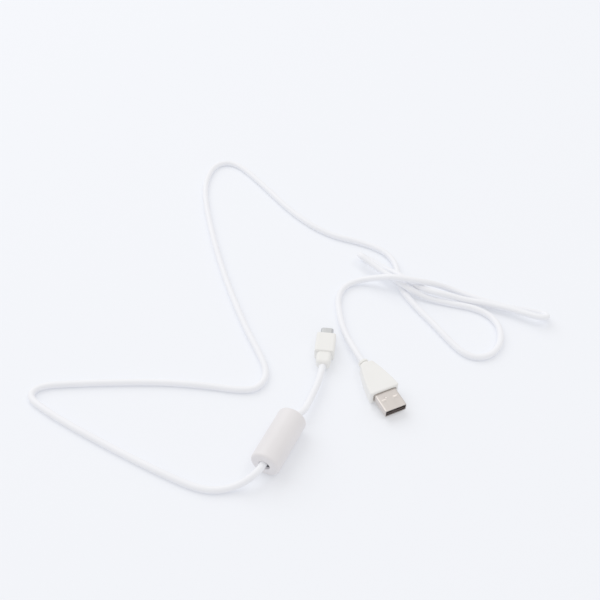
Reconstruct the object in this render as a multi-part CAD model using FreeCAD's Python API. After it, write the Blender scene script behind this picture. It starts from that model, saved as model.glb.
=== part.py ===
# USB cable: a standard A plug, a mini-B plug and a ferrite choke on one round white cable, lying loose on a floor.
# Millimetres. +Z is up and the floor is z = 0. +X points out of the A plug's mouth.
# The origin is the middle of the flat underside of the A plug's moulded body.
import FreeCAD, Part
import math
import os

V = FreeCAD.Vector
X_AXIS = V(1, 0, 0)
Y_AXIS = V(0, 1, 0)
Z_AXIS = V(0, 0, 1)

# Cable
CABLE_DIAMETER = 3.5
ARC_SHARE = 0.45

# A plug, moulded body: length is without the neck, widths are at the front face and at the tail
A_BODY_LENGTH = 20.0
A_BODY_WIDTH = 16.4
A_BODY_TAIL_WIDTH = 6.8
A_BODY_HEIGHT = 8.0
A_BODY_BULGE = 0.6
A_BODY_EDGE = 0.9
A_BODY_CORNER = 1.2
A_FRONT_X = 10.5
A_NECK_LENGTH = 3.0
A_NECK_DIAMETER = 5.6
A_NECK_SLOT = 0.7
A_NECK_SLOT_DEPTH = 0.7
A_NECK_BRIDGE = 1.4
A_SHELL_RELIEF = 0.6
A_SHELL_RELIEF_DEPTH = 1.0

# A plug, steel shell: reach is in front of the body, root is inside it
A_SHELL_WIDTH = 12.0
A_SHELL_HEIGHT = 4.5
A_SHELL_WALL = 0.3
A_SHELL_CORNER = 0.75
A_SHELL_REACH = 11.2
A_SHELL_ROOT = 5.0
A_SHELL_LIP = 0.15
A_SHELL_SEAM = 0.12
A_DETENT_LENGTH = 1.7
A_DETENT_WIDTH = 2.4
A_DETENT_DEPTH = 0.2
A_DETENT_SETBACK = 6.2
A_DETENT_OFFSET = 3.2
A_DIMPLE_SETBACK = 7.8
A_DIMPLE_OFFSET = 1.75
A_DIMPLE_DIAMETER = 1.3
A_DIMPLE_DEPTH = 0.22

# A plug, inside
A_CAVITY_DEPTH = 11.0
A_TONGUE_THICKNESS = 1.84
A_TONGUE_SETBACK = 0.4
A_TONGUE_SIDE_GAP = 0.15
A_CONTACT_WIDTH = 1.0
A_CONTACT_THICKNESS = 0.25
A_CONTACT_PROUD = 0.1
A_CONTACT_PITCHES = {"vbus": -3.5, "data_minus": -1.0, "data_plus": 1.0, "ground": 3.5}
A_CONTACT_LONG_SETBACK = 1.1
A_CONTACT_SHORT_SETBACK = 2.1
A_TAIL_LENGTH = 4.0
A_INNER_LENGTH = 12.0
A_INNER_WIDTH = 11.0
A_INNER_TAIL_WIDTH = 5.5
A_INNER_HEIGHT = 5.2
A_WIRE_DIAMETER = 0.8
A_CABLE_END_X = -4.0

# Mini-B plug, measured from the tail of its neck along its own axis
MINI_TAIL_X = -19.2
MINI_TAIL_Y = -20.0
MINI_HEADING = 148.2
MINI_NECK_LENGTH = 7.4
MINI_NECK_WIDTH = 6.4
MINI_NECK_BULGE = 0.75
MINI_NECK_HEIGHT = 6.4
MINI_NECK_CORNER = 2.3
MINI_NECK_EDGE = 1.9
MINI_BLOCK_LENGTH = 13.0
MINI_BLOCK_WIDTH = 10.4
MINI_BLOCK_HEIGHT = 8.0
MINI_BLOCK_EDGE = 1.4
MINI_BLOCK_FACE_EDGE = 0.7
MINI_SHELL_WIDTH = 6.8
MINI_SHELL_TOP_WIDTH = 5.0
MINI_SHELL_HEIGHT = 3.0
MINI_SHELL_SHOULDER = 1.1
MINI_SHELL_WALL = 0.25
MINI_SHELL_CORNER = 0.35
MINI_SHELL_REACH = 5.4
MINI_SHELL_ROOT = 4.0
MINI_LATCH_LENGTH = 1.6
MINI_LATCH_WIDTH = 0.8
MINI_LATCH_HEIGHT = 0.35
MINI_LATCH_OFFSET = 2.1
MINI_LATCH_SETBACK = 2.4
MINI_CAVITY_DEPTH = 5.6
MINI_TONGUE_THICKNESS = 0.95
MINI_TONGUE_SETBACK = 0.3
MINI_TONGUE_SIDE_GAP = 0.1
MINI_CONTACT_WIDTH = 0.4
MINI_CONTACT_THICKNESS = 0.2
MINI_CONTACT_PROUD = 0.08
MINI_CONTACT_PITCH = 0.8
MINI_CONTACT_NAMES = ("vbus", "data_minus", "data_plus", "id", "ground")
MINI_CONTACT_SETBACK = 0.8
MINI_TAIL_LENGTH = 3.0
MINI_INNER_WIDTH = 5.4
MINI_INNER_HEIGHT = 4.6
MINI_INNER_GRIP = 1.5
MINI_INNER_EDGE = 0.6
MINI_WIRE_DIAMETER = 0.55
MINI_CABLE_END = 5.0
MINI_CABLE_LEAD = 6.2

# Choke, measured from the end where the long stretch of cable comes in, along its own axis
CHOKE_END_X = 25.8
CHOKE_END_Y = -72.1
CHOKE_HEADING = 129.5
CHOKE_LENGTH = 30.5
CHOKE_DIAMETER = 14.8
CHOKE_RIM = 1.4
CHOKE_WALL = 1.2
CHOKE_END_WALL = 1.4
CHOKE_HOLE = 5.6
CHOKE_HOLE_RIM = 0.2
CHOKE_SEAM_TURN = 65.0
CHOKE_LEAD_IN = 6.0
CHOKE_LEAD_IN_RISE = 0.75
CHOKE_LEAD_IN_SIDE = 0.55
CHOKE_LEAD_OUT = 7.5
CHOKE_LEAD_OUT_DROP = 2.3
CHOKE_LEAD_OUT_SIDE = 2.5
CHOKE_SLACK_PLACE = 6.0
CHOKE_SLACK_RISE = 0.85
CHOKE_SLACK_SIDE = 0.45
CHOKE_EXIT = 1.0
CHOKE_EXIT_DROP = 0.35
CHOKE_EXIT_SIDE = 0.35
CORE_CLEARANCE = 0.05
CORE_BORE = 6.0

# Wire colours in the order of the connected contacts, and where each wire sits in the cable's end
WIRE_OF_CONTACT = {"vbus": "red", "data_minus": "white", "data_plus": "green", "ground": "black"}
WIRE_SPREAD = 0.5

# Worked out from the sizes above
A_AXIS_Z = A_BODY_HEIGHT / 2
A_BODY_TAIL_X = A_FRONT_X - A_BODY_LENGTH
A_SHELL_FRONT_X = A_FRONT_X + A_SHELL_REACH
A_SHELL_REAR_X = A_FRONT_X - A_SHELL_ROOT
MINI_FRONT = MINI_NECK_LENGTH + MINI_BLOCK_LENGTH
MINI_SHELL_FRONT = MINI_FRONT + MINI_SHELL_REACH
MINI_SHELL_REAR = MINI_FRONT - MINI_SHELL_ROOT

A_PLACE = FreeCAD.Placement(V(0, 0, A_AXIS_Z), FreeCAD.Rotation())
MINI_PLACE = FreeCAD.Placement(
    V(MINI_TAIL_X, MINI_TAIL_Y, MINI_BLOCK_HEIGHT / 2), FreeCAD.Rotation(Z_AXIS, MINI_HEADING))
CHOKE_PLACE = FreeCAD.Placement(
    V(CHOKE_END_X, CHOKE_END_Y, CHOKE_DIAMETER / 2), FreeCAD.Rotation(Z_AXIS, CHOKE_HEADING))

# The cable's corner points, chosen by hand from the A plug to the mini-B plug, each at the height of the cable's middle
ON_FLOOR = CABLE_DIAMETER / 2
CABLE_ROUTE = [
    # out of the A plug, and round to where the strands cross
    (A_CABLE_END_X, 0, A_AXIS_Z), (-21, 0, A_AXIS_Z), (-38, 2, ON_FLOOR), (-52, 6.2, ON_FLOOR),
    (-63, 11, ON_FLOOR),
    (-69.5, 18.5, ON_FLOOR), (-69.5, 28, 2.5), (-64, 35.5, 6), (-57, 42.5, 10.3), (-48.5, 52, 10.7), (-45, 62.5, 7),
    (-40.7, 71.8, 2.5), (-28.7, 81, ON_FLOOR), (-14.6, 94.2, ON_FLOOR), (-7.6, 103, ON_FLOOR),
    # first sharp fold of the old hank, and back under the first strand
    (-3.8, 107.3, ON_FLOOR), (-0.8, 107.8, 3), (1.7, 105.8, 4.5), (1.4, 102.4, 5.75), (-3.6, 98.3, 5), (-12.4, 91.5, 4.3),
    (-22.7, 81.8, 3.7), (-29.9, 73.7, 3), (-35.5, 66, 5), (-40.5, 58.5, 6.2), (-50, 52.5, 5.7), (-60.5, 49, 5.9),
    (-70.5, 46.5, 2.8), (-79, 43.5, ON_FLOOR),
    # second sharp fold, and back on top of itself
    (-85, 41, ON_FLOOR), (-86.5, 38.5, 3.5), (-85.5, 36.5, 6), (-82.5, 36, 7.5), (-76.5, 38.5, 6.3), (-67.5, 42, 5.4),
    (-58.5, 45, 5.7), (-49, 48.5, 5.7), (-41.5, 55, 2.2), (-31.5, 66, ON_FLOOR),
    # the open loop on the right, and under the crossing
    (-23.8, 75.6, ON_FLOOR), (-14.5, 80.8, ON_FLOOR), (-4.5, 80.3, ON_FLOOR), (5, 74, ON_FLOOR), (9.5, 66, ON_FLOOR),
    (9, 58, ON_FLOOR), (3.5, 52.3, ON_FLOOR), (-6, 50.3, ON_FLOOR), (-22.5, 49, ON_FLOOR), (-39.5, 46.7, ON_FLOOR),
    (-53.5, 46.5, ON_FLOOR), (-63, 50, ON_FLOOR), (-74, 54.5, ON_FLOOR), (-85.5, 54, ON_FLOOR),
    # far out to the back corner and down the left side
    (-98.5, 45.5, ON_FLOOR), (-113.5, 30, ON_FLOOR), (-139.5, 19.5, ON_FLOOR), (-174.9, 13.9, ON_FLOOR), (-198, 9.5, ON_FLOOR),
    (-208.3, 3.9, ON_FLOOR), (-210, -5, ON_FLOOR), (-203.3, -13.3, ON_FLOOR), (-187.5, -23, ON_FLOOR),
    (-151, -32.5, ON_FLOOR), (-107, -40.5, ON_FLOOR), (-65, -45, ON_FLOOR), (-43.5, -45.4, ON_FLOOR),
    # the bend beside the choke, and out to the left end
    (-31, -46.5, ON_FLOOR), (-24.1, -50.8, ON_FLOOR), (-21.5, -57.5, ON_FLOOR), (-25.5, -66, ON_FLOOR),
    (-34.6, -78.8, ON_FLOOR), (-45.9, -97.7, ON_FLOOR), (-58.4, -125.4, ON_FLOOR), (-65.5, -143, ON_FLOOR),
    (-69, -152.5, ON_FLOOR), (-68.5, -159, ON_FLOOR), (-64, -161.5, ON_FLOOR), (-55.9, -157.6, ON_FLOOR),
    # along the front, up into the choke and through it
    (-41.8, -149.3, ON_FLOOR), (-15.1, -131, ON_FLOOR), (9.1, -113.2, ON_FLOOR), (23.5, -100.7, ON_FLOOR), (27.7, -88.5, 2),
    tuple(CHOKE_PLACE.multVec(V(-CHOKE_LEAD_IN, CHOKE_LEAD_IN_SIDE, CHOKE_LEAD_IN_RISE))),
    tuple(CHOKE_PLACE.multVec(V(CHOKE_SLACK_PLACE, CHOKE_SLACK_SIDE, CHOKE_SLACK_RISE))),
    tuple(CHOKE_PLACE.multVec(V(CHOKE_LENGTH - 2 * CHOKE_SLACK_PLACE, 0, CHOKE_SLACK_RISE / 2))),
    tuple(CHOKE_PLACE.multVec(V(CHOKE_LENGTH + CHOKE_EXIT, -CHOKE_EXIT_SIDE, -CHOKE_EXIT_DROP))),
    tuple(CHOKE_PLACE.multVec(V(CHOKE_LENGTH + CHOKE_LEAD_OUT, -CHOKE_LEAD_OUT_SIDE, -CHOKE_LEAD_OUT_DROP))),
    # clear of the floor and into the mini-B plug
    (-2.2, -35.1, 4.3),
    tuple(MINI_PLACE.multVec(V(-MINI_CABLE_LEAD, 0, 0))), tuple(MINI_PLACE.multVec(V(MINI_CABLE_END, 0, 0))),
]


def box(x, y, z):
    """A box between the two values given for each direction."""
    return Part.makeBox(x[1] - x[0], y[1] - y[0], z[1] - z[0], V(x[0], y[0], z[0]))


def extrude_x(points, x):
    """A prism along X between two places, from a section given as (y, z) corners."""
    corners = [V(x[0], y, z) for y, z in points]
    return Part.Face(Part.makePolygon(corners + corners[:1])).extrude(V(x[1] - x[0], 0, 0))


def edges_along_x(solid):
    """The straight edges that run along X."""
    return [e for e in solid.Edges if isinstance(e.Curve, Part.Line) and abs(abs(e.tangentAt(e.FirstParameter).x) - 1) < 1e-6]


def rounded_bar(x, width, height, radius):
    """A bar along the X axis with a rounded rectangular section."""
    bar = box(x, (-width / 2, width / 2), (-height / 2, height / 2))
    return bar.makeFillet(radius, edges_along_x(bar))


def round_edges_at_x(solid, x, radius):
    """Round the outline of the flat end at the given x."""
    edges = [e for e in solid.Edges if abs(e.BoundBox.XMin - x) < 1e-6 and abs(e.BoundBox.XMax - x) < 1e-6]
    return solid.makeFillet(radius, edges)


def wire_between(start, end, diameter):
    """A short round wire between two places, cut square to X at both ends."""
    rings = [Part.Wire(Part.makeCircle(diameter / 2, place, X_AXIS)) for place in (start, end)]
    return Part.makeLoft(rings, True, True)


# A plug

def bowed_plan(x, width, bulge):
    """A flat plan along X between two places, with a width at each and sides that bow out between them."""
    half = (width[0] / 2, width[1] / 2)
    middle = V((x[0] + x[1]) / 2, (half[0] + half[1]) / 2 + bulge, 0)
    side = Part.Arc(V(x[0], half[0], 0), middle, V(x[1], half[1], 0)).toShape()
    ends = [Part.makeLine(V(x[k], half[k], 0), V(x[k], -half[k], 0)) for k in (0, 1)]
    return Part.Face(Part.Wire([ends[0], side.mirror(V(0, 0, 0), V(0, 1, 0)), ends[1], side]))


def pillow(plan, height, corner, edge):
    """A moulded block on a plan, half above and half below the axis, with round corners and then round rims."""
    solid = plan.extrude(V(0, 0, height))
    solid.translate(V(0, 0, -height / 2))
    solid = solid.makeFillet(corner, [e for e in solid.Edges if e.BoundBox.ZLength > height / 2])
    return solid.makeFillet(edge, [e for e in solid.Edges if e.BoundBox.ZLength < height / 2])


def a_body():
    """Outside of the moulding: the tapered body with all its edges rounded, and the slotted neck behind it."""
    plan = bowed_plan((A_BODY_TAIL_X, A_FRONT_X), (A_BODY_TAIL_WIDTH, A_BODY_WIDTH), A_BODY_BULGE)
    body = pillow(plan, A_BODY_HEIGHT, A_BODY_CORNER, A_BODY_EDGE)
    neck = Part.makeCylinder(A_NECK_DIAMETER / 2, A_NECK_LENGTH + A_BODY_EDGE, V(A_BODY_TAIL_X - A_NECK_LENGTH, 0, 0), X_AXIS)
    slot_x = A_BODY_TAIL_X - A_NECK_LENGTH / 2
    ring = Part.makeCylinder(A_NECK_DIAMETER / 2, A_NECK_SLOT, V(slot_x - A_NECK_SLOT / 2, 0, 0), X_AXIS)
    ring = ring.cut(Part.makeCylinder(
        A_NECK_DIAMETER / 2 - A_NECK_SLOT_DEPTH, A_NECK_SLOT, V(slot_x - A_NECK_SLOT / 2, 0, 0), X_AXIS))
    bridge = box((slot_x - A_NECK_SLOT, slot_x + A_NECK_SLOT), (-A_NECK_DIAMETER, A_NECK_DIAMETER),
                 (-A_NECK_BRIDGE / 2, A_NECK_BRIDGE / 2))
    return body.fuse(neck.cut(ring.cut(bridge))).removeSplitter()


def a_shell_bar(x, inset):
    """The shell's outer section, drawn in by a wall, between two places."""
    return rounded_bar(x, A_SHELL_WIDTH - 2 * inset, A_SHELL_HEIGHT - 2 * inset, A_SHELL_CORNER - inset)


def pressing_radius(width, depth):
    """Radius of the round tool that leaves a pressing of this width and depth."""
    return (width ** 2 / 4 + depth ** 2) / (2 * depth)


def a_shell():
    """Folded steel tube with a rounded lip, two pressed detents and a dimple on top, and a seam along the underside."""
    whole = (A_SHELL_REAR_X, A_SHELL_FRONT_X)
    outside = round_edges_at_x(a_shell_bar(whole, 0), A_SHELL_FRONT_X, A_SHELL_LIP)
    shell = outside.cut(a_shell_bar(whole, A_SHELL_WALL))
    top = A_SHELL_HEIGHT / 2
    radius = pressing_radius(A_DETENT_LENGTH, A_DETENT_DEPTH)
    for y in (-A_DETENT_OFFSET, A_DETENT_OFFSET):
        start = V(A_SHELL_FRONT_X - A_DETENT_SETBACK, y - A_DETENT_WIDTH / 2, top - A_DETENT_DEPTH + radius)
        shell = shell.cut(Part.makeCylinder(radius, A_DETENT_WIDTH, start, Y_AXIS))
    radius = pressing_radius(A_DIMPLE_DIAMETER, A_DIMPLE_DEPTH)
    dimple = Part.makeSphere(radius, V(A_SHELL_FRONT_X - A_DIMPLE_SETBACK, -A_DIMPLE_OFFSET, top - A_DIMPLE_DEPTH + radius))
    seam = box(whole, (-A_SHELL_SEAM / 2, A_SHELL_SEAM / 2), (-top, A_SHELL_WALL - top))
    return shell.cut(dimple).cut(seam)


def a_contacts():
    """Four flat strips on the tongue, the outer two longer, with tails behind the shell."""
    top = A_SHELL_WALL - A_SHELL_HEIGHT / 2 + A_TONGUE_THICKNESS + A_CONTACT_PROUD
    furthest = max(abs(y) for y in A_CONTACT_PITCHES.values())
    strips = {}
    for name, y in A_CONTACT_PITCHES.items():
        setback = A_CONTACT_LONG_SETBACK if abs(y) == furthest else A_CONTACT_SHORT_SETBACK
        strips[name] = box((A_SHELL_REAR_X - A_TAIL_LENGTH, A_SHELL_FRONT_X - setback),
                           (y - A_CONTACT_WIDTH / 2, y + A_CONTACT_WIDTH / 2), (top - A_CONTACT_THICKNESS, top))
    return strips


def a_insulator(contacts):
    """Moulded block that fills the back of the shell, with the tongue below the mouth, grooved for the contacts."""
    base = a_shell_bar((A_SHELL_REAR_X, A_SHELL_FRONT_X - A_CAVITY_DEPTH), A_SHELL_WALL)
    bottom = A_SHELL_WALL - A_SHELL_HEIGHT / 2
    slab = box((A_SHELL_REAR_X, A_SHELL_FRONT_X - A_TONGUE_SETBACK),
               (A_SHELL_WALL + A_TONGUE_SIDE_GAP - A_SHELL_WIDTH / 2, A_SHELL_WIDTH / 2 - A_SHELL_WALL - A_TONGUE_SIDE_GAP),
               (bottom, bottom + A_TONGUE_THICKNESS))
    tongue = slab.common(a_shell_bar((A_SHELL_REAR_X, A_SHELL_FRONT_X), A_SHELL_WALL))
    return base.fuse(tongue).removeSplitter().cut(Part.makeCompound(list(contacts.values())))


def a_wires():
    """Four wires from the cable's end to the contacts' tails."""
    tail_x = A_SHELL_REAR_X - A_TAIL_LENGTH
    z = A_SHELL_WALL - A_SHELL_HEIGHT / 2 + A_TONGUE_THICKNESS + A_CONTACT_PROUD - A_CONTACT_THICKNESS / 2
    furthest = max(abs(y) for y in A_CONTACT_PITCHES.values())
    wires = {}
    for name, y in A_CONTACT_PITCHES.items():
        start_z = WIRE_SPREAD if abs(y) == furthest else -WIRE_SPREAD
        start = V(A_CABLE_END_X, math.copysign(WIRE_SPREAD, y), start_z)
        wires[name] = wire_between(start, V(tail_x, y, z), A_WIRE_DIAMETER)
    return wires


def a_inner_block():
    """Outside of the inner mould: a block that tapers from the shell to the cable."""
    front, back = A_SHELL_REAR_X, A_SHELL_REAR_X - A_INNER_LENGTH
    half, tail_half = A_INNER_WIDTH / 2, A_INNER_TAIL_WIDTH / 2
    corners = [V(front, half, 0), V(back, tail_half, 0), V(back, -tail_half, 0), V(front, -half, 0)]
    block = Part.Face(Part.makePolygon(corners + corners[:1])).extrude(V(0, 0, A_INNER_HEIGHT))
    block.translate(V(0, 0, -A_INNER_HEIGHT / 2))
    return block


def a_cable_core(x):
    """The straight end of the cable inside the A plug."""
    return Part.makeCylinder(CABLE_DIAMETER / 2, x[1] - x[0], V(x[0], 0, 0), X_AXIS)


def a_plug():
    """All pieces of the A plug, about the plug's own axis."""
    contacts = a_contacts()
    wires = a_wires()
    block = a_inner_block()
    cable_end = a_cable_core((A_BODY_TAIL_X - 2 * A_NECK_LENGTH, A_CABLE_END_X))
    shell_room = a_shell_bar((A_SHELL_REAR_X, A_SHELL_FRONT_X), 0)
    relief = a_shell_bar((A_FRONT_X - A_SHELL_RELIEF_DEPTH, A_SHELL_FRONT_X), -A_SHELL_RELIEF)
    inside = Part.makeCompound(list(contacts.values()) + list(wires.values()) + [cable_end])
    pieces = {
        "usb_a_overmould": a_body().cut(block).cut(shell_room).cut(relief).cut(cable_end),
        "usb_a_shell": a_shell(),
        "usb_a_insulator": a_insulator(contacts),
        "usb_a_inner_mould": block.cut(inside),
    }
    for name, strip in contacts.items():
        pieces["usb_a_contact_" + name] = strip
    for name, wire in wires.items():
        pieces["usb_a_wire_" + WIRE_OF_CONTACT[name]] = wire
    return pieces


# Mini-B plug

def mini_body():
    """Outside of the moulding: a grip block and a narrower, rounder neck with bowed sides behind it."""
    block = rounded_bar((MINI_NECK_LENGTH, MINI_FRONT), MINI_BLOCK_WIDTH, MINI_BLOCK_HEIGHT, MINI_BLOCK_EDGE)
    block = round_edges_at_x(block, MINI_FRONT, MINI_BLOCK_FACE_EDGE)
    block = round_edges_at_x(block, MINI_NECK_LENGTH, MINI_BLOCK_FACE_EDGE)
    plan = bowed_plan((0, MINI_NECK_LENGTH + MINI_NECK_CORNER), (MINI_NECK_WIDTH, MINI_NECK_WIDTH), MINI_NECK_BULGE)
    neck = pillow(plan, MINI_NECK_HEIGHT, MINI_NECK_CORNER, MINI_NECK_EDGE)
    return block.fuse(neck).removeSplitter()


def mini_section(x, inset):
    """The mini-B shell's section, wide below and narrower above sloped shoulders, drawn in by a wall."""
    half, top_half, height = MINI_SHELL_WIDTH / 2, MINI_SHELL_TOP_WIDTH / 2, MINI_SHELL_HEIGHT / 2
    slope = math.atan2(MINI_SHELL_SHOULDER, half - top_half)
    shift = inset * math.tan(slope / 2)
    rise = inset * math.tan((math.pi / 2 - slope) / 2)
    shoulder_z = height - MINI_SHELL_SHOULDER
    points = [(-half + inset, -height + inset), (half - inset, -height + inset), (half - inset, shoulder_z - rise),
              (top_half - shift, height - inset), (-top_half + shift, height - inset), (-half + inset, shoulder_z - rise)]
    bar = extrude_x(points, x)
    return bar.makeFillet(MINI_SHELL_CORNER - inset, edges_along_x(bar)) if inset < MINI_SHELL_CORNER else bar


def mini_shell():
    """Folded steel tube with two latch bumps on its wide underside."""
    whole = (MINI_SHELL_REAR, MINI_SHELL_FRONT)
    shell = mini_section(whole, 0).cut(mini_section(whole, MINI_SHELL_WALL))
    under = -MINI_SHELL_HEIGHT / 2
    front = MINI_SHELL_FRONT - MINI_LATCH_SETBACK
    for y in (-MINI_LATCH_OFFSET, MINI_LATCH_OFFSET):
        wedge = [V(front, 0, under), V(front - MINI_LATCH_LENGTH, 0, under),
                 V(front - MINI_LATCH_LENGTH, 0, under - MINI_LATCH_HEIGHT)]
        bump = Part.Face(Part.makePolygon(wedge + wedge[:1])).extrude(V(0, MINI_LATCH_WIDTH, 0))
        bump.translate(V(0, y - MINI_LATCH_WIDTH / 2, 0))
        shell = shell.fuse(bump)
    return shell.removeSplitter()


def mini_contact_places():
    """Sideways place of each of the five contacts."""
    middle = (len(MINI_CONTACT_NAMES) - 1) / 2
    return {name: (k - middle) * MINI_CONTACT_PITCH for k, name in enumerate(MINI_CONTACT_NAMES)}


def mini_contact_top():
    """Height of the contacts' upper faces above the plug's axis."""
    return MINI_SHELL_WALL - MINI_SHELL_HEIGHT / 2 + MINI_TONGUE_THICKNESS + MINI_CONTACT_PROUD


def mini_contacts():
    """Five narrow strips along the lower wall of the mouth, with tails behind the shell."""
    top = mini_contact_top()
    return {
        name: box((MINI_SHELL_REAR - MINI_TAIL_LENGTH, MINI_SHELL_FRONT - MINI_CONTACT_SETBACK),
                  (y - MINI_CONTACT_WIDTH / 2, y + MINI_CONTACT_WIDTH / 2), (top - MINI_CONTACT_THICKNESS, top))
        for name, y in mini_contact_places().items()}


def mini_insulator(contacts):
    """Moulded block that fills the back of the shell, with a lower wall that carries the contacts."""
    base = mini_section((MINI_SHELL_REAR, MINI_SHELL_FRONT - MINI_CAVITY_DEPTH), MINI_SHELL_WALL)
    bottom = MINI_SHELL_WALL - MINI_SHELL_HEIGHT / 2
    side = MINI_SHELL_WIDTH / 2 - MINI_SHELL_WALL - MINI_TONGUE_SIDE_GAP
    slab = box((MINI_SHELL_REAR, MINI_SHELL_FRONT - MINI_TONGUE_SETBACK), (-side, side),
               (bottom, bottom + MINI_TONGUE_THICKNESS))
    tongue = slab.common(mini_section((MINI_SHELL_REAR, MINI_SHELL_FRONT), MINI_SHELL_WALL))
    return base.fuse(tongue).removeSplitter().cut(Part.makeCompound(list(contacts.values())))


def mini_wires():
    """Four wires from the cable's end to the connected contacts' tails."""
    z = mini_contact_top() - MINI_CONTACT_THICKNESS / 2
    places = mini_contact_places()
    furthest = max(abs(y) for y in places.values())
    wires = {}
    for name in WIRE_OF_CONTACT:
        y = places[name]
        start_z = WIRE_SPREAD if abs(y) == furthest else -WIRE_SPREAD
        start_y = WIRE_SPREAD if name in ("data_plus", "ground") else -WIRE_SPREAD
        end = V(MINI_SHELL_REAR - MINI_TAIL_LENGTH, y, z)
        wires[name] = wire_between(V(MINI_CABLE_END, start_y, start_z), end, MINI_WIRE_DIAMETER)
    return wires


def mini_plug():
    """All pieces of the mini-B plug, about the plug's own axis."""
    contacts = mini_contacts()
    wires = mini_wires()
    block = rounded_bar((MINI_CABLE_END - MINI_INNER_GRIP, MINI_SHELL_REAR), MINI_INNER_WIDTH, MINI_INNER_HEIGHT, MINI_INNER_EDGE)
    cable_end = Part.makeCylinder(CABLE_DIAMETER / 2, 2 * MINI_CABLE_END, V(-MINI_CABLE_END, 0, 0), X_AXIS)
    shell_room = mini_section((MINI_SHELL_REAR, MINI_SHELL_FRONT), 0)
    inside = Part.makeCompound(list(contacts.values()) + list(wires.values()) + [cable_end])
    pieces = {
        "mini_b_overmould": mini_body().cut(block).cut(shell_room).cut(cable_end),
        "mini_b_shell": mini_shell(),
        "mini_b_insulator": mini_insulator(contacts),
        "mini_b_inner_mould": block.cut(inside),
    }
    for name, strip in contacts.items():
        pieces["mini_b_contact_" + name] = strip
    for name, wire in wires.items():
        pieces["mini_b_wire_" + WIRE_OF_CONTACT[name]] = wire
    return pieces


# Choke

def choke():
    """Two half shells of a round case, closed round a ferrite sleeve that the cable runs through."""
    outer = Part.makeCylinder(CHOKE_DIAMETER / 2, CHOKE_LENGTH, V(0, 0, 0), X_AXIS)
    outer = outer.makeFillet(CHOKE_RIM, [e for e in outer.Edges if isinstance(e.Curve, Part.Circle)])
    hole = Part.makeCylinder(CHOKE_HOLE / 2, CHOKE_LENGTH, V(0, 0, 0), X_AXIS)
    wide = CHOKE_HOLE / 2 + CHOKE_HOLE_RIM
    mouths = [Part.makeCone(wide, CHOKE_HOLE / 2, CHOKE_HOLE_RIM, V(0, 0, 0), X_AXIS),
              Part.makeCone(wide, CHOKE_HOLE / 2, CHOKE_HOLE_RIM, V(CHOKE_LENGTH, 0, 0), V(-1, 0, 0))]
    room_radius = CHOKE_DIAMETER / 2 - CHOKE_WALL
    room = Part.makeCylinder(room_radius, CHOKE_LENGTH - 2 * CHOKE_END_WALL, V(CHOKE_END_WALL, 0, 0), X_AXIS)
    case = outer.cut(room).cut(hole).cut(Part.makeCompound(mouths))
    half = box((-CHOKE_LENGTH, 2 * CHOKE_LENGTH), (-CHOKE_DIAMETER, CHOKE_DIAMETER), (0, CHOKE_DIAMETER))
    half.rotate(V(0, 0, 0), X_AXIS, CHOKE_SEAM_TURN)
    core_length = CHOKE_LENGTH - 2 * CHOKE_END_WALL - 2 * CORE_CLEARANCE
    core_start = V(CHOKE_END_WALL + CORE_CLEARANCE, 0, 0)
    core = Part.makeCylinder(room_radius - CORE_CLEARANCE, core_length, core_start, X_AXIS)
    return {
        "choke_case_left": case.common(half),
        "choke_case_right": case.cut(half),
        "choke_ferrite_core": core.cut(Part.makeCylinder(CORE_BORE / 2, core_length, core_start, X_AXIS)),
    }


# Cable

def cable_path():
    """Straight runs joined by tangent arcs, each arc as large as its two runs allow. Also the arcs' radii."""
    points = [V(*p) for p in CABLE_ROUTE]
    edges = []
    radii = []
    start = points[0]
    for before, here, after in zip(points, points[1:], points[2:]):
        back = (before - here).normalize()
        ahead = (after - here).normalize()
        cut = ARC_SHARE * min((before - here).Length, (after - here).Length)
        half_turn = (math.pi - back.getAngle(ahead)) / 2
        radius = cut / math.tan(half_turn)
        arc_start = here + back * cut
        arc_end = here + ahead * cut
        inward = (back + ahead).normalize()
        arc_middle = here + inward * (math.hypot(cut, radius) - radius)
        edges.append(Part.LineSegment(start, arc_start).toShape())
        edges.append(Part.Arc(arc_start, arc_middle, arc_end).toShape())
        radii.append(radius)
        start = arc_end
    edges.append(Part.LineSegment(start, points[-1]).toShape())
    return Part.Wire(edges), radii


def cable():
    """The round cable, swept along its path, with its length, bends and volume printed."""
    path, radii = cable_path()
    first = V(*CABLE_ROUTE[1]) - V(*CABLE_ROUTE[0])
    section = Part.Wire(Part.makeCircle(CABLE_DIAMETER / 2, V(*CABLE_ROUTE[0]), first))
    tube = path.makePipeShell([section], True, False)
    expected = math.pi * CABLE_DIAMETER ** 2 / 4 * path.Length
    print("cable length %.1f mm, volume %.1f of %.1f mm3" % (path.Length, tube.Volume, expected))
    print("cable bend radii:", " ".join("%.1f" % r for r in radii))
    return tube


def main():
    pieces = {}
    for place, group in ((A_PLACE, a_plug()), (MINI_PLACE, mini_plug()), (CHOKE_PLACE, choke())):
        for name, solid in group.items():
            solid.Placement = place.multiply(solid.Placement)
            pieces[name] = solid
    pieces["cable"] = cable()
    os.makedirs("parts", exist_ok=True)
    for name, solid in pieces.items():
        print("%-28s solids %d  volume %9.2f  valid %s" % (name, len(solid.Solids), solid.Volume, solid.isValid()))
        solid.exportStep("parts/%s.step" % name)


main()
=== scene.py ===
import math

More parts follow.
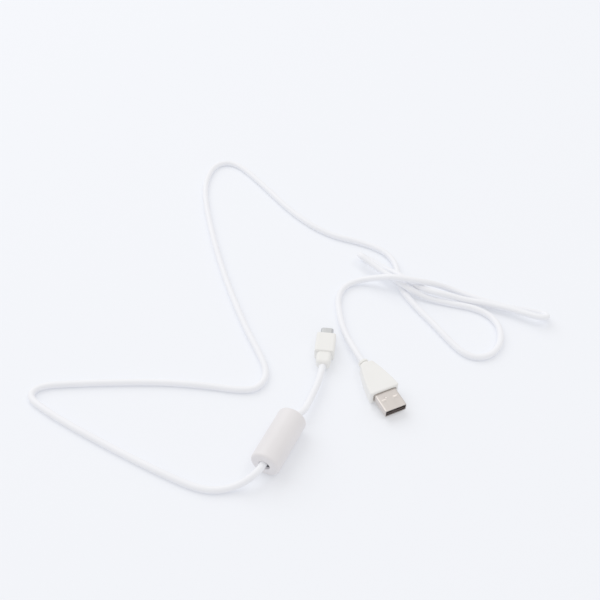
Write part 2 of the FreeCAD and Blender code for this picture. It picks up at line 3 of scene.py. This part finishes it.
import bpy
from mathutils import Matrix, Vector


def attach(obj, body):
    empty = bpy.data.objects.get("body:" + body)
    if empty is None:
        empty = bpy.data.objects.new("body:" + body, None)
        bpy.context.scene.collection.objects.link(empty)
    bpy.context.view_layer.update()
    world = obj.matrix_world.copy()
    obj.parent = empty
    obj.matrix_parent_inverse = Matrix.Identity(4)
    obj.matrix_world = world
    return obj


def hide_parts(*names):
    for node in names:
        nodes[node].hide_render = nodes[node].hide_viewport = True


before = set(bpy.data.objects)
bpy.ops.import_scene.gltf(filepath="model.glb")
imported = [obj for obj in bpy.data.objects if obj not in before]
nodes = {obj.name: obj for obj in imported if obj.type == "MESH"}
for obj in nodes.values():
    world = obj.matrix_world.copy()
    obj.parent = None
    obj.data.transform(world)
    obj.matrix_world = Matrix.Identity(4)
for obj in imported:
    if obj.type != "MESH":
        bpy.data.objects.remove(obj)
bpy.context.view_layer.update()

# Camera
# A hand-held camera looks down at about 45 degrees, from in front of the A plug and to its right.
# Its place and focal length were found from the plug's known size and the floor that the cable lies on.
scene = bpy.context.scene
camera_place = Vector((0.2286, -0.1485, 0.331))
camera_aim = Vector((-0.641, 0.299, -0.707))
camera_data = bpy.data.cameras.new("photo_camera")
camera_data.sensor_fit = "HORIZONTAL"
camera_data.sensor_width = 36.0
camera_data.lens = 49.8
camera_data.clip_start = 0.01
camera = bpy.data.objects.new("photo_camera", camera_data)
camera.location = camera_place
camera.rotation_euler = camera_aim.to_track_quat("-Z", "Y").to_euler()
scene.collection.objects.link(camera)
scene.camera = camera

# Cable
# A round white jacket of soft PVC over a braid and four wires, extruded in one length from plug to plug.
# It was unfolded from a flat hank, so it keeps the sharp folds at the right and the loose waves elsewhere.
cable_diameter = 0.0035
on_floor = cable_diameter / 2
cable_route = [
    # out of the A plug, and round to where the strands cross
    (-0.004, 0, 0.004), (-0.021, 0, 0.004), (-0.038, 0.002, on_floor),
    (-0.052, 0.0062, on_floor), (-0.063, 0.011, on_floor), (-0.0695, 0.0185, on_floor),
    (-0.0695, 0.028, 0.0025), (-0.064, 0.0355, 0.006), (-0.057, 0.0425, 0.0103),
    (-0.0485, 0.052, 0.0107), (-0.045, 0.0625, 0.007), (-0.0407, 0.0718, 0.0025),
    (-0.0287, 0.081, on_floor), (-0.0146, 0.0942, on_floor), (-0.0092, 0.101, on_floor),
    (-0.0061, 0.1048, on_floor),
    # first sharp fold of the old hank, and back under the first strand
    (-0.0038, 0.1073, on_floor), (-0.0008, 0.1078, 0.003), (0.0017, 0.1058, 0.0045),
    (0.0014, 0.1024, 0.00575), (-0.0012, 0.1, 0.0054), (-0.0056, 0.09675, 0.00485),
    (-0.0124, 0.0915, 0.0043), (-0.0227, 0.0818, 0.0037), (-0.0299, 0.0737, 0.003),
    (-0.0355, 0.066, 0.005), (-0.0405, 0.0585, 0.0062), (-0.05, 0.0525, 0.0057),
    (-0.0605, 0.049, 0.0059), (-0.0705, 0.0465, 0.0028), (-0.0774, 0.0442, 0.0019),
    (-0.0819, 0.0425, on_floor),
    # second sharp fold, and back on top of itself
    (-0.085, 0.041, on_floor), (-0.0865, 0.0385, 0.0035), (-0.0855, 0.0365, 0.006),
    (-0.0825, 0.036, 0.0075), (-0.0796, 0.0371, 0.007), (-0.075, 0.0391, 0.0061),
    (-0.0675, 0.042, 0.0054), (-0.0585, 0.045, 0.0057), (-0.049, 0.0485, 0.0057),
    (-0.0415, 0.055, 0.0022), (-0.0315, 0.066, on_floor),
    # the open loop on the right, and under the crossing
    (-0.0238, 0.0756, on_floor), (-0.0145, 0.0808, on_floor), (-0.0045, 0.0803, on_floor),
    (0.005, 0.074, on_floor), (0.0095, 0.066, on_floor), (0.009, 0.058, on_floor),
    (0.0035, 0.0523, on_floor), (-0.006, 0.0503, on_floor), (-0.0225, 0.049, on_floor),
    (-0.0395, 0.0467, on_floor), (-0.0535, 0.0465, on_floor), (-0.063, 0.05, on_floor),
    (-0.074, 0.0545, on_floor), (-0.0855, 0.054, on_floor),
    # far out to the back corner and down the left side
    (-0.0985, 0.0455, on_floor), (-0.1135, 0.03, on_floor), (-0.1395, 0.0195, on_floor),
    (-0.1749, 0.0139, on_floor), (-0.198, 0.0095, on_floor), (-0.2083, 0.0039, on_floor),
    (-0.21, -0.005, on_floor), (-0.2033, -0.0133, on_floor), (-0.1875, -0.023, on_floor),
    (-0.151, -0.0325, on_floor), (-0.107, -0.0405, on_floor), (-0.065, -0.045, on_floor),
    (-0.0435, -0.0454, on_floor),
    # the bend beside the choke, and out to the left end
    (-0.031, -0.0465, on_floor), (-0.0241, -0.0508, on_floor), (-0.0215, -0.0575, on_floor),
    (-0.0255, -0.066, on_floor), (-0.0346, -0.0788, on_floor), (-0.0459, -0.0977, on_floor),
    (-0.0584, -0.1254, on_floor), (-0.0655, -0.143, on_floor), (-0.069, -0.1525, on_floor),
    (-0.0685, -0.159, on_floor), (-0.064, -0.1615, on_floor), (-0.0559, -0.1576, on_floor),
    # along the front, up into the choke and through it
    (-0.0418, -0.1493, on_floor), (-0.0151, -0.131, on_floor), (0.0091, -0.1132, on_floor),
    (0.0235, -0.1007, on_floor), (0.0277, -0.0885, 0.002), (0.02919, -0.07707, 0.00815),
    (0.02164, -0.06776, 0.00825), (0.01403, -0.05782, 0.00783), (0.00603, -0.04757, 0.00705),
    (0.00356, -0.04119, 0.0051),
    # clear of the floor and into the mini-B plug
    (-0.0022, -0.0351, 0.0043), (-0.01393, -0.02327, 0.004), (-0.02345, -0.01737, 0.004),
]


def new_material(name, colour, roughness, metallic=0.0):
    """A principled material with its plain colour, roughness and metallic value."""
    material = bpy.data.materials.new(name)
    material.use_nodes = True
    shader = material.node_tree.nodes["Principled BSDF"]
    shader.inputs["Base Color"].default_value = (*colour, 1.0)
    shader.inputs["Roughness"].default_value = roughness
    shader.inputs["Metallic"].default_value = metallic
    return material


def add_noise(material, scale, detail, stretch, turn):
    """A noise in the piece's own space, drawn out along axes that are turned round the upright one."""
    tree = material.node_tree
    place = tree.nodes.new("ShaderNodeTexCoord")
    mapping = tree.nodes.new("ShaderNodeMapping")
    mapping.vector_type = "TEXTURE"
    mapping.inputs["Scale"].default_value = stretch
    mapping.inputs["Rotation"].default_value = (0.0, 0.0, turn)
    noise = tree.nodes.new("ShaderNodeTexNoise")
    noise.inputs["Scale"].default_value = scale
    noise.inputs["Detail"].default_value = detail
    tree.links.new(place.outputs["Object"], mapping.inputs["Vector"])
    tree.links.new(mapping.outputs["Vector"], noise.inputs["Vector"])
    return noise


def add_mottle(material, low, high, scale, stretch=(1.0, 1.0, 1.0), turn=0.0):
    """Base colour that drifts between two near shades over the surface."""
    noise = add_noise(material, scale=scale, detail=4.0, stretch=stretch, turn=turn)
    tree = material.node_tree
    ramp = tree.nodes.new("ShaderNodeValToRGB")
    ramp.color_ramp.elements[0].position = 0.3
    ramp.color_ramp.elements[0].color = (*low, 1.0)
    ramp.color_ramp.elements[1].position = 0.7
    ramp.color_ramp.elements[1].color = (*high, 1.0)
    shader = tree.nodes["Principled BSDF"]
    tree.links.new(noise.outputs["Fac"], ramp.inputs["Fac"])
    tree.links.new(ramp.outputs["Color"], shader.inputs["Base Color"])


def add_grain(material, scale, strength, depth, stretch=(1.0, 1.0, 1.0), turn=0.0, rough=None):
    """A fine bump over the surface, and with rough a roughness that varies with it between two values."""
    noise = add_noise(material, scale=scale, detail=3.0, stretch=stretch, turn=turn)
    tree = material.node_tree
    bump = tree.nodes.new("ShaderNodeBump")
    bump.inputs["Strength"].default_value = strength
    bump.inputs["Distance"].default_value = depth
    shader = tree.nodes["Principled BSDF"]
    tree.links.new(noise.outputs["Fac"], bump.inputs["Height"])
    tree.links.new(bump.outputs["Normal"], shader.inputs["Normal"])
    if rough:
        spread = tree.nodes.new("ShaderNodeMapRange")
        spread.inputs["To Min"].default_value = rough[0]
        spread.inputs["To Max"].default_value = rough[1]
        tree.links.new(noise.outputs["Fac"], spread.inputs["Value"])
        tree.links.new(spread.outputs["Result"], shader.inputs["Roughness"])


jacket_pvc = new_material("jacket_pvc", colour=(0.865, 0.88, 0.94), roughness=0.42)
add_mottle(jacket_pvc, low=(0.845, 0.86, 0.92), high=(0.885, 0.90, 0.96), scale=45.0)
add_grain(jacket_pvc, scale=900.0, strength=0.12, depth=0.0001, rough=(0.36, 0.5))

cable_curve = bpy.data.curves.new("cable_jacket", "CURVE")
cable_curve.dimensions = "3D"
cable_spline = cable_curve.splines.new("NURBS")
cable_spline.points.add(len(cable_route) - 1)
for point, place in zip(cable_spline.points, cable_route):
    point.co = (*place, 1.0)
cable_spline.order_u = 3
cable_spline.use_endpoint_u = True
cable_spline.resolution_u = 8
cable_curve.bevel_depth = cable_diameter / 2
cable_curve.bevel_resolution = 6
cable_curve.use_fill_caps = True
cable_curve.materials.append(jacket_pvc)
cable_jacket = bpy.data.objects.new("cable_jacket", cable_curve)
scene.collection.objects.link(cable_jacket)
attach(cable_jacket, "root")
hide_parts("cable")

# Plug mouldings
# Both plugs are moulded in one shot of soft white PVC over the finished connector and the end of the cable.
# The surface is lightly spark-eroded, so it is satin, and it has yellowed a little more than the jacket.
plug_pvc = new_material("plug_pvc", colour=(0.805, 0.80, 0.775), roughness=0.5)
add_mottle(plug_pvc, low=(0.79, 0.785, 0.755), high=(0.82, 0.815, 0.795), scale=90.0)
add_grain(plug_pvc, scale=2500.0, strength=0.15, depth=0.00005, rough=(0.42, 0.58))


def finish_nodes(names, material):
    """Give CAD nodes their finished material."""
    for name in names:
        mesh = nodes[name].data
        mesh.materials.clear()
        mesh.materials.append(material)


finish_nodes(["usb_a_overmould", "mini_b_overmould"], plug_pvc)

# Plug shells
# Thin nickel-plated steel strip, folded into a tube round the plug's insulator and held by the moulding.
# It is drawn along the plug, so it shines in fine streaks that run that way.
tint_streaks = (10.0, 1.0, 1.0)
grain_streaks = (20.0, 1.0, 1.0)
steel_rough = (0.27, 0.41)
shell_steel_a = new_material("shell_steel_a", colour=(0.555, 0.495, 0.455), roughness=0.34, metallic=1.0)
add_mottle(shell_steel_a, low=(0.525, 0.465, 0.425), high=(0.585, 0.525, 0.485), scale=300.0,
           stretch=tint_streaks)
add_grain(shell_steel_a, scale=1500.0, strength=0.1, depth=0.00003,
          stretch=grain_streaks, rough=steel_rough)
finish_nodes(["usb_a_shell"], shell_steel_a)
# the mini-B plug lies turned this far from the A plug
mini_turn = math.radians(148.2)
# the mini-B shell is the same steel as the A shell, painted darker and cooler as painted shade
shell_steel_mini_painted_shade = new_material("shell_steel_mini_painted_shade", colour=(0.40, 0.41, 0.415), roughness=0.34,
                                metallic=1.0)
add_mottle(shell_steel_mini_painted_shade, low=(0.375, 0.385, 0.39), high=(0.425, 0.435, 0.44), scale=300.0,
           stretch=tint_streaks, turn=mini_turn)
add_grain(shell_steel_mini_painted_shade, scale=1500.0, strength=0.1, depth=0.00003,
          stretch=grain_streaks, turn=mini_turn, rough=steel_rough)
finish_nodes(["mini_b_shell"], shell_steel_mini_painted_shade)

# Insulators
# One block of brown-black glass-filled nylon in each shell, with a tongue that carries the contacts.
# It is moulded with grooves that the contacts are pressed into, and its surface is dull.
insulator_nylon = new_material("insulator_nylon", colour=(0.012, 0.007, 0.006), roughness=0.65)
insulator_shader = insulator_nylon.node_tree.nodes["Principled BSDF"]
insulator_shader.inputs["Specular IOR Level"].default_value = 0.1
add_mottle(insulator_nylon, low=(0.01, 0.0055, 0.0045), high=(0.014, 0.0085, 0.0075), scale=400.0)
add_grain(insulator_nylon, scale=3000.0, strength=0.2, depth=0.00003, rough=(0.55, 0.75))
finish_nodes(["usb_a_insulator", "mini_b_insulator"], insulator_nylon)

# Contacts
# Stamped copper-alloy strips, four in the A plug and five in the mini-B plug, pressed into the insulators.
# They are plated with gold where they touch the socket's springs.
contact_gold = new_material("contact_gold", colour=(0.87, 0.64, 0.28), roughness=0.25, metallic=1.0)
add_mottle(contact_gold, low=(0.80, 0.57, 0.24), high=(0.92, 0.70, 0.33), scale=700.0)
add_grain(contact_gold, scale=4000.0, strength=0.08, depth=0.00002, rough=(0.18, 0.34))
finish_nodes([name for name in nodes if "_contact_" in name], contact_gold)

# Inner moulds
# A first shot of natural polyethylene over the solder joints of each plug.
# It is moulded on after soldering, and hidden under the outer moulding.
inner_polyethylene = new_material("inner_polyethylene", colour=(0.72, 0.71, 0.66), roughness=0.45)
add_mottle(inner_polyethylene, low=(0.68, 0.67, 0.62), high=(0.76, 0.75, 0.70), scale=250.0)
add_grain(inner_polyethylene, scale=1200.0, strength=0.15, depth=0.00005, rough=(0.4, 0.55))
finish_nodes(["usb_a_inner_mould", "mini_b_inner_mould"], inner_polyethylene)

# Wires
# Four thin copper wires in each plug, with PVC insulation in the usual colours.
# They run from the end of the jacket to the contacts' tails, and are soldered there.
wire_colours = {
    "red": ((0.45, 0.02, 0.02), (0.60, 0.04, 0.03)),
    "white": ((0.70, 0.70, 0.69), (0.82, 0.82, 0.80)),
    "green": ((0.02, 0.25, 0.06), (0.04, 0.36, 0.10)),
    "black": ((0.012, 0.012, 0.012), (0.025, 0.025, 0.025)),
}
for wire_name, (dark, light) in wire_colours.items():
    wire_pvc = new_material("wire_pvc_" + wire_name, colour=light, roughness=0.4)
    add_mottle(wire_pvc, low=dark, high=light, scale=500.0)
    add_grain(wire_pvc, scale=2000.0, strength=0.1, depth=0.00003)
    finish_nodes(["usb_a_wire_" + wire_name, "mini_b_wire_" + wire_name], wire_pvc)

# Choke
# Two half shells of hard white ABS, snapped and glued round a grey ferrite sleeve, loose on the cable.
# The plastic is a shade greyer than the plugs, and smoother.
choke_abs = new_material("choke_abs", colour=(0.70, 0.67, 0.69), roughness=0.42)
add_mottle(choke_abs, low=(0.68, 0.65, 0.67), high=(0.72, 0.69, 0.71), scale=70.0)
add_grain(choke_abs, scale=1800.0, strength=0.1, depth=0.00004, rough=(0.38, 0.5))
finish_nodes(["choke_case_left", "choke_case_right"], choke_abs)
ferrite = new_material("ferrite", colour=(0.11, 0.11, 0.115), roughness=0.6)
add_mottle(ferrite, low=(0.09, 0.09, 0.095), high=(0.135, 0.135, 0.14), scale=900.0)
add_grain(ferrite, scale=3500.0, strength=0.4, depth=0.00006, rough=(0.5, 0.75))
finish_nodes(["choke_ferrite_core"], ferrite)

# Floor
# A plain pale sheet of paper under everything, far wider than the view.
# It has a painted glow, an even light of its own, so shadows on it stay pale.
floor_mesh = bpy.data.meshes.new("floor")
floor_half = 15.0
floor_corners = [
    (-floor_half, -floor_half, 0), (floor_half, -floor_half, 0),
    (floor_half, floor_half, 0), (-floor_half, floor_half, 0),
]
floor_mesh.from_pydata(floor_corners, [], [(0, 1, 2, 3)])
floor_paper_painted_glow = new_material("floor_paper_painted_glow", colour=(0.737, 0.772, 0.852), roughness=0.7)
floor_shader = floor_paper_painted_glow.node_tree.nodes["Principled BSDF"]
# painted glow: the sheet emits a little light, which lightens the shadows on it and the undersides near it
floor_shader.inputs["Emission Color"].default_value = (1.0, 0.99, 0.975, 1.0)
floor_shader.inputs["Emission Strength"].default_value = 0.12
floor_mesh.materials.append(floor_paper_painted_glow)
floor = bpy.data.objects.new("floor", floor_mesh)
scene.collection.objects.link(floor)

# Light
# A large window at the back left and a small ceiling lamp on the right, in a bright and even room.
# The view is lifted with gamma, because the photograph is overexposed.
cable_middle = Vector((-0.07, -0.01, 0.0))


def add_lamp(name, place, size, power, colour):
    """A round soft lamp, pointed at the middle of the cable."""
    lamp_data = bpy.data.lights.new(name, "AREA")
    lamp_data.shape = "DISK"
    lamp_data.size = size
    lamp_data.energy = power
    lamp_data.color = colour
    lamp = bpy.data.objects.new(name, lamp_data)
    lamp.location = place
    lamp.rotation_euler = (cable_middle - lamp.location).to_track_quat("-Z", "Y").to_euler()
    scene.collection.objects.link(lamp)


add_lamp("window_light", place=(-2.5, -0.75, 2.7), size=4.0, power=60.0, colour=(0.975, 0.985, 1.0))
add_lamp("ceiling_lamp", place=(0.22, 0.62, 1.6), size=0.7, power=3.0, colour=(1.0, 0.98, 0.95))
room = bpy.data.worlds.new("room")
room.use_nodes = True
room_light = room.node_tree.nodes["Background"]
room_light.inputs["Color"].default_value = (1.0, 0.985, 0.965, 1.0)
room_light.inputs["Strength"].default_value = 0.62
scene.world = room
scene.view_settings.view_transform = "Standard"
scene.view_settings.gamma = 1.8
